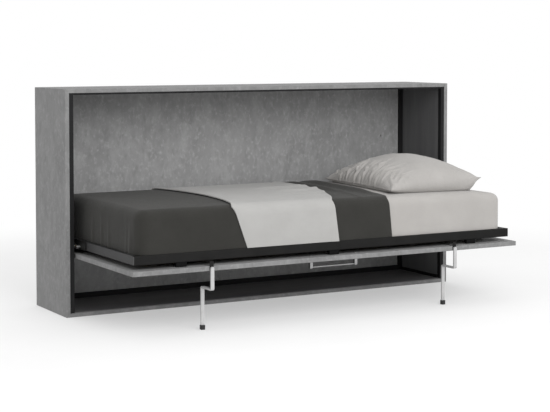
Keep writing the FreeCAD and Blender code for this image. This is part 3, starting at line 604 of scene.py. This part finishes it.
# %% [markdown]
# ### Mattress
# The mattress is a foam block in a knitted cover, with a sewn line round it near its top and near its
# bottom. It starts as a cube at the block's size, and its edges are bevelled to the block's radii.
# Three cuts side by side make each sewn line, and the middle one is pressed in a little. Two more
# cuts let the top fall towards the head end, as the top of the block that the cloth lies on does.

# %% Mattress: the block
def make_mattress():
    size = block_high - block_low
    bpy.ops.mesh.primitive_cube_add(size=1, location=block_middle, scale=size)
    piece = bpy.context.object
    piece.name = "mattress_block"
    bpy.ops.object.transform_apply(location=True, rotation=True, scale=True)
    mesh = bmesh.new()
    mesh.from_mesh(piece.data)
    upright = [e for e in mesh.edges if abs(e.verts[0].co.z - e.verts[1].co.z) > 0.01]
    bmesh.ops.bevel(mesh, geom=upright, offset=BLOCK_CORNER, segments=8, affect="EDGES", profile=0.5)
    level = [e for e in mesh.edges if abs(e.verts[0].co.z - e.verts[1].co.z) < 1e-5]
    rims = [e for e in level if abs(e.verts[0].co.z - block_high.z) < 1e-5
            and not all(f.normal.z > 0.9 for f in e.link_faces)]
    bmesh.ops.bevel(mesh, geom=rims, offset=BLOCK_RIM, segments=6, affect="EDGES", profile=0.5)
    bmesh.ops.recalc_face_normals(mesh, faces=mesh.faces)
    mesh.to_mesh(piece.data)
    mesh.free()
    return piece


mattress = make_mattress()
print("mattress block:", len(mattress.data.polygons), "faces")

# %% Mattress: sewn lines and sag
BORDER_DROP = 0.034
SEAM_HALF = 0.003
SEAM_DEEP = 0.002


def cut(mesh, place, normal):
    """Cut every face that a plane crosses, and keep both sides."""
    bmesh.ops.bisect_plane(mesh, geom=mesh.verts[:] + mesh.edges[:] + mesh.faces[:], plane_co=place,
                           plane_no=normal)


def press_borders(piece):
    """Press in a sewn line near the top and near the bottom, and let the top fall at the head end."""
    mesh = bmesh.new()
    mesh.from_mesh(piece.data)
    for height in (block_low.z + BORDER_DROP, block_high.z - BORDER_DROP):
        for shift in (-SEAM_HALF, 0, SEAM_HALF):
            cut(mesh, (0, 0, height + shift), (0, 0, 1))
        for vertex in mesh.verts:
            if abs(vertex.co.z - height) < 1e-4:
                inward = Vector((block_middle.x - vertex.co.x, block_middle.y - vertex.co.y, 0)).normalized()
                vertex.co += inward * SEAM_DEEP
    for share in (1, 0.5):
        cut(mesh, (block_high.x - share * SAG_LONG, 0, 0), (1, 0, 0))
    for vertex in mesh.verts:
        vertex.co = sagged(vertex.co)
    mesh.to_mesh(piece.data)
    mesh.free()


press_borders(mattress)
print("with its sewn lines:", len(mattress.data.polygons), "faces")

# %% Mattress: UV map and cover
def unfold(piece):
    """A UV map in metres, from the side that each face looks to."""
    layer = piece.data.uv_layers.new(name="cloth") if not piece.data.uv_layers else piece.data.uv_layers[0]
    for face in piece.data.polygons:
        normal = face.normal
        for loop in face.loop_indices:
            co = piece.data.vertices[piece.data.loops[loop].vertex_index].co
            if abs(normal.z) > 0.7:
                layer.data[loop].uv = (co.x, co.y)
            elif abs(normal.y) > abs(normal.x):
                layer.data[loop].uv = (co.x, co.z)
            else:
                layer.data[loop].uv = (co.y, co.z)


unfold(mattress)
make_current(mattress)
bpy.ops.object.shade_smooth_by_angle(angle=math.radians(40))
dress(mattress, ticking, "mattress")
print("mattress:", mattress.data.uv_layers[0].name, "map")

# %% [markdown]
# ### Fitted sheet
# The fitted sheet is stretched over the mattress by elastic at its corners, so it is almost smooth, with
# faint pull lines. It hangs on all four sides.

# %% Fitted sheet
SHEET_GROW = 0.0023
BED_LOW = block_low.z


def swell(place, size, rise):
    """Slow hills between 0 and rise, where size is their width in metres."""
    return rise * (0.5 + 0.5 * noise.noise(place / size))


def hang(place, grow):
    """How far down a wall a place of a cloth is, from 0 on the top to 1 near the hem."""
    return fade(block_high.z + grow - place.z, 0.02, 0.19)


def sheet_lift(place, out):
    return swell(place, 0.16, 0.0007)


def straight(x):
    """An edge that runs straight across the bed, as a function of y."""
    return lambda y: x


sheet_wide, sheet_deep = half_size(SHEET_GROW)
fitted_sheet = block_cloth("linen_sheet", straight(block_middle.x - sheet_wide),
                           straight(block_middle.x + sheet_wide), SHEET_GROW, 0.012, BED_LOW, sheet_lift,
                           walls=("front", "back", "foot", "head"))
give_thickness(fitted_sheet, 0.0012)
dress(fitted_sheet, sheet_cotton, "fitted_sheet")
DROP = block_high.z - block_low.z

# %% [markdown]
# ### Folds
# A fold is a long low ridge. On a flat place it can be drawn as a line with a bell-shaped height
# across it that fades at both ends. Each cloth adds up a few of these lines, placed where the folds of
# the real one are.

# %% Folds
def ridge(place, start, end, width, rise):
    """Height at a place of a fold that runs from start to end in plan."""
    start, end = Vector(start), Vector(end)
    run = end - start
    here = Vector((place.x, place.y)) - start
    share = here.dot(run) / run.length_squared
    if not -0.1 < share < 1.1:
        return 0
    aside = (here - run * share).length
    ends = fade(share, -0.1, 0.25) * (1 - fade(share, 0.75, 1.1))
    return rise * math.exp(-(aside / width) ** 2) * ends


def top_ridges(place, out, folds):
    """Height at a place of all the folds of a list; they fade where the cloth turns down."""
    if out.z <= 0:
        return 0
    return out.z * sum(ridge(place, *fold) for fold in folds)


def curve_between(points):
    """x as a smooth function of y through three (y, x) points."""
    (y0, x0), (y1, x1), (y2, x2) = points

    def at(y):
        y = max(y0, min(y2, y))
        a = (y - y1) * (y - y2) / ((y0 - y1) * (y0 - y2))
        b = (y - y0) * (y - y2) / ((y1 - y0) * (y1 - y2))
        c = (y - y0) * (y - y1) / ((y2 - y0) * (y2 - y1))
        return a * x0 + b * x1 + c * x2
    return at


print("fold at its middle:", round(ridge(Vector((0, 0, 0)), (-1, 0), (1, 0), 0.02, 0.01), 4))

# %% [markdown]
# ### Dark cover
# The dark cover is tucked round the foot end, where it hangs in a few upright folds, and it ends in a
# soft curve before the pillow. Near that end it has slid together into a few low folds. A hanging
# fold is given by its place across the bed, its width and its rise, and a fold on the top by its two
# ends, its width and its rise.

# %% Dark cover
COVER_GROW = 0.0083
FRONT, BACK = block_low.y, block_high.y
HEAD = block_high.x
cover_end = curve_between([(FRONT, HEAD - 0.657), (block_middle.y, HEAD - 0.593), (BACK, HEAD - 0.587)])
HANG_FOLDS = [(-0.385, 0.016, 0.007), (-0.340, 0.010, 0.004), (-0.143, 0.011, 0.006),
              (-0.067, 0.010, 0.007), (0.028, 0.012, 0.007), (0.200, 0.016, 0.005)]
TOP_FOLDS = [((0.335, 0.38), (0.290, -0.36), 0.024, 0.017), ((0.205, 0.36), (0.205, -0.18), 0.022, 0.016),
             ((0.130, 0.30), (0.100, -0.25), 0.030, 0.006), ((0.240, -0.10), (0.160, -0.44), 0.014, 0.006)]


def cover_lift(place, out):
    height = swell(place, 0.30, 0.0012)
    drop = hang(place, COVER_GROW)
    if out.x < -0.2:
        for y, width, rise in HANG_FOLDS:
            lean = 0.012 * math.sin(9 * y) * drop
            height += rise * drop * -out.x * math.exp(-((place.y - y - lean) / width) ** 2)
    height += 0.002 * drop * (0.5 + 0.5 * noise.noise(Vector((place.x, place.y, 0)) * 14))
    return height + top_ridges(place, out, TOP_FOLDS)


cover_wide, cover_deep = half_size(COVER_GROW)
dark_cover = block_cloth("linen_cover", straight(block_middle.x - cover_wide), cover_end, COVER_GROW, 0.009,
                         BED_LOW, cover_lift, walls=("front", "back", "foot"), lean=(0, 0.019))
give_thickness(dark_cover, 0.0045)
dress(dark_cover, cover_cotton, "dark_cover")
cover_flat = (cover_end(block_middle.y) - (block_middle.x - cover_wide) + DROP, 2 * cover_deep + 2 * DROP)

# %% [markdown]
# ### Pale throw
# The throw lies across the cover like a runner and hangs down at the front and the back, where its
# hanging end slants. It follows the folds of the cover below, has a few of its own near its right
# edge, and both its side edges curl up a little.

# %% Pale throw
THROW_GROW = 0.0136
EDGE_CURL = 0.0045
FOOT = block_low.x
throw_start = curve_between([(FRONT, FOOT + 0.440), (block_middle.y, FOOT + 0.507), (BACK, FOOT + 0.440)])
throw_end = curve_between([(FRONT, FOOT + 0.952), (block_middle.y, FOOT + 1.096), (BACK, FOOT + 1.114)])
THROW_FOLDS = [((0.19, 0.05), (-0.12, 0.09), 0.030, 0.010), ((0.17, -0.10), (-0.08, -0.06), 0.028, 0.009),
               ((0.13, -0.24), (-0.12, -0.17), 0.030, 0.006)]


def throw_lift(place, out):
    height = swell(place, 0.22, 0.0015)
    drop = hang(place, THROW_GROW)
    from_edge = min(place.x - throw_start(place.y), throw_end(place.y) - place.x)
    height += EDGE_CURL * (1 - fade(from_edge, 0, 0.02))
    height += 0.003 * drop * (0.5 + 0.5 * noise.noise(Vector((place.x, place.y, 3)) * 9))
    return height + top_ridges(place, out, TOP_FOLDS + THROW_FOLDS)


throw = block_cloth("linen_throw", throw_start, throw_end, THROW_GROW, 0.009, BED_LOW, throw_lift,
                    lean=(0.070, 0.026))
give_thickness(throw, 0.0045)
dress(throw, throw_cotton, "throw")
throw_end(block_middle.y) - throw_start(block_middle.y)

# %% [markdown]
# ### Pillow
# A pillow is two panels sewn together and stuffed. Both are laid out over the same grid, from -1 to 1
# each way. The height over the grid is a dome that falls to the seam, the seam is drawn in between the
# corners, and the belly is pressed flat by the sheet. The seam stands out as a narrow lip, with an ear
# at each corner. Wrinkles are then added along the normals: short ones that run in from the seams, and
# a few long ones from the corners. A formula does this better than a cloth simulation here, because
# the photograph's pillow has its pleats on one side only.

# %% Pillow: form
PILLOW_WIDE, PILLOW_LONG, PILLOW_THICK = 0.47, 0.69, 0.160
PILLOW_TURN = math.radians(-5.5)
PILLOW_BASE = block_high.z + 0.0032
PILLOW_CELLS = (110, 180)
SIDE_PULL, END_PULL = 0.020, 0.014
CROWN_SHIFT = 0.16
SEAM_LIP = 0.004
EAR = 0.010


def dome(t, power):
    return max(0, 1 - t * t) ** power


def pillow_point(a, b, side):
    """A point of the upper or the lower panel, before it is turned and laid in its place.

    The filling has slid a little towards the head end, so the crown is not quite in the middle, and
    the seam lies higher there. The lower panel falls from the seam to the sheet in a short belly.
    """
    full = dome(a - CROWN_SHIFT * (1 - a * a), 0.47) * dome(b, 0.44)
    seam = PILLOW_THICK * (0.20 + 0.14 * a + 0.05 * a * a)
    lip = SEAM_LIP + EAR * (a * b) ** 8 if max(abs(a), abs(b)) == 1 else 0
    x = a * (PILLOW_WIDE / 2 - SIDE_PULL * (1 - b * b) + lip)
    y = b * (PILLOW_LONG / 2 - END_PULL * (1 - a * a) + lip)
    z = seam + (PILLOW_THICK - seam) * full if side > 0 else seam * max(0, 1 - 2.9 * full ** 0.7)
    return x, y, z


print("crown:", [round(v, 3) for v in pillow_point(0, 0, 1)])

# %% Pillow: sew the two panels
def pillow_panels():
    """Two panels of squares that share their edge."""
    mesh = bmesh.new()
    across, along = PILLOW_CELLS
    panels = []
    for side in (1, -1):
        panel = {}
        for i in range(across + 1):
            for j in range(along + 1):
                if side < 0 and (i in (0, across) or j in (0, along)):
                    panel[i, j] = panels[0][i, j]
                    continue
                a, b = math.sin(math.pi / 2 * (2 * i / across - 1)), 2 * j / along - 1
                panel[i, j] = mesh.verts.new(pillow_point(a, b, side))
        panels.append(panel)
        for i in range(across):
            for j in range(along):
                ring = [panel[i, j], panel[i + 1, j], panel[i + 1, j + 1], panel[i, j + 1]]
                mesh.faces.new(ring if side > 0 else ring[::-1])
    data = bpy.data.meshes.new("linen_pillow")
    mesh.to_mesh(data)
    mesh.free()
    piece = bpy.data.objects.new("linen_pillow", data)
    bpy.context.scene.collection.objects.link(piece)
    layer = data.uv_layers.new(name="cloth")
    for loop in data.loops:
        co = data.vertices[loop.vertex_index].co
        layer.data[loop.index].uv = (co.x, co.y)
    return piece


pillow = pillow_panels()
print("pillow:", len(pillow.data.polygons), "faces")

# %% Pillow: one wrinkle, and many along a seam
def seam_wrinkles(chance, count, start, run, inward, reach, rise):
    """Short wrinkles spread along one seam: each has a foot, a direction, a length, a width and a rise."""
    made = []
    for index in range(count):
        share = (index + chance.uniform(0.1, 0.9)) / count
        foot = Vector(start) + Vector(run) * share
        turn = chance.uniform(-0.45, 0.45)
        way = Vector(inward)
        way = Vector((way.x * math.cos(turn) - way.y * math.sin(turn),
                      way.x * math.sin(turn) + way.y * math.cos(turn)))
        made.append((foot, way, reach * chance.uniform(0.35, 1), chance.uniform(0.004, 0.008),
                     rise * chance.uniform(0.4, 1) * (1 - abs(2 * share - 1) ** 4)))
    return made


def wrinkle(spot, foot, way, length, width, rise):
    """How far one wrinkle lifts the cloth at a spot: a crest with a valley on each side."""
    here = spot - foot
    along = here.dot(way)
    if not 0 < along < length:
        return 0
    aside = here.x * way.y - here.y * way.x + 0.004 * math.sin(45 * along + 300 * foot.y)
    if abs(aside) > 4 * width:
        return 0
    share = aside / width
    ends = fade(along, 0, 0.25 * length) * (1 - fade(along, 0.4 * length, length))
    return rise * (1 - share * share) * math.exp(-share * share / 1.6) * ends


crest = wrinkle(Vector((0.03, 0)), Vector((0, 0)), Vector((1, 0)), 0.1, 0.006, 0.01)
print("wrinkle at its crest:", round(crest, 4))

# %% Pillow: all the wrinkles
def pillow_wrinkles():
    """Many along the foot seam, a few along the other three, and three from each corner."""
    chance = random.Random(7)
    wide, deep = PILLOW_WIDE / 2, PILLOW_LONG / 2
    made = seam_wrinkles(chance, 38, (-wide + 0.004, -deep), (0, 2 * deep), (1, 0), 0.20, 0.0120)
    made += seam_wrinkles(chance, 8, (wide - 0.012, -deep), (0, 2 * deep), (-1, 0), 0.09, 0.0025)
    made += seam_wrinkles(chance, 7, (-wide, -deep + 0.008), (2 * wide, 0), (0, 1), 0.08, 0.0020)
    made += seam_wrinkles(chance, 7, (-wide, deep - 0.008), (2 * wide, 0), (0, -1), 0.09, 0.0030)
    for across in (-1, 1):
        for front in (-1, 1):
            corner = Vector((across * wide, front * deep))
            for turn in (-0.22, 0.05, 0.30):
                way = Vector((-across, -front * 0.9)).normalized()
                way.rotate(Matrix.Rotation(turn, 2))
                made.append((corner, way, 0.20, 0.010, 0.0045 if across < 0 else 0.0025))
    return made


def crumple(piece):
    """Move the skin out along its normals by all the wrinkles that reach a point, but not underneath."""
    made = pillow_wrinkles()
    normals = [vertex.normal.copy() for vertex in piece.data.vertices]
    for vertex, normal in zip(piece.data.vertices, normals):
        co = vertex.co
        if co.z < 0.004 or normal.z < -0.3:
            continue
        spot = Vector((co.x, co.y))
        lift = sum(wrinkle(spot, *one) for one in made) + 0.0025 * noise.noise(co * 14)
        vertex.co = co + normal * lift


def lay(piece):
    """Turn the pillow a little and lay it on the sheet, in the middle of its box in the frame."""
    box_low, box_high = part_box("pillow")
    middle = (box_low + box_high) / 2
    turn = Matrix.Rotation(PILLOW_TURN, 3, "Z")
    for vertex in piece.data.vertices:
        vertex.co = turn @ Vector((vertex.co.x, vertex.co.y, max(vertex.co.z, 0.0004)))
        vertex.co += Vector((middle.x, middle.y, PILLOW_BASE))


crumple(pillow)
lay(pillow)
print("pillow top:", round(max(vertex.co.z for vertex in pillow.data.vertices), 3))

# %% [markdown]
# ### Pillow: cover
# With the bed closed there is only a hand's breadth between the mattress and the back panel. The real
# pillow is crushed there, so it flattens towards the sheet as the bed swings up. This cell shades the
# pillow smooth, gives it its cotton and carries it on the bed.

# %% Pillow: cover
make_current(pillow)
bpy.ops.object.shade_smooth()
pillow_cotton = new_cotton("pillow_cotton", (0.330, 0.318, 0.305), (0.366, 0.353, 0.340))
dress(pillow, pillow_cotton, "pillow")
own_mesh(pillow)
print("pillow:", len(pillow.data.polygons), "faces")

# %% [markdown]
# ## Leave nothing selected
# The dressed bed has to stay the size of the construction model, give or take what cloth may stand
# proud.

# %% Leave nothing selected
bpy.ops.object.select_all(action="DESELECT")
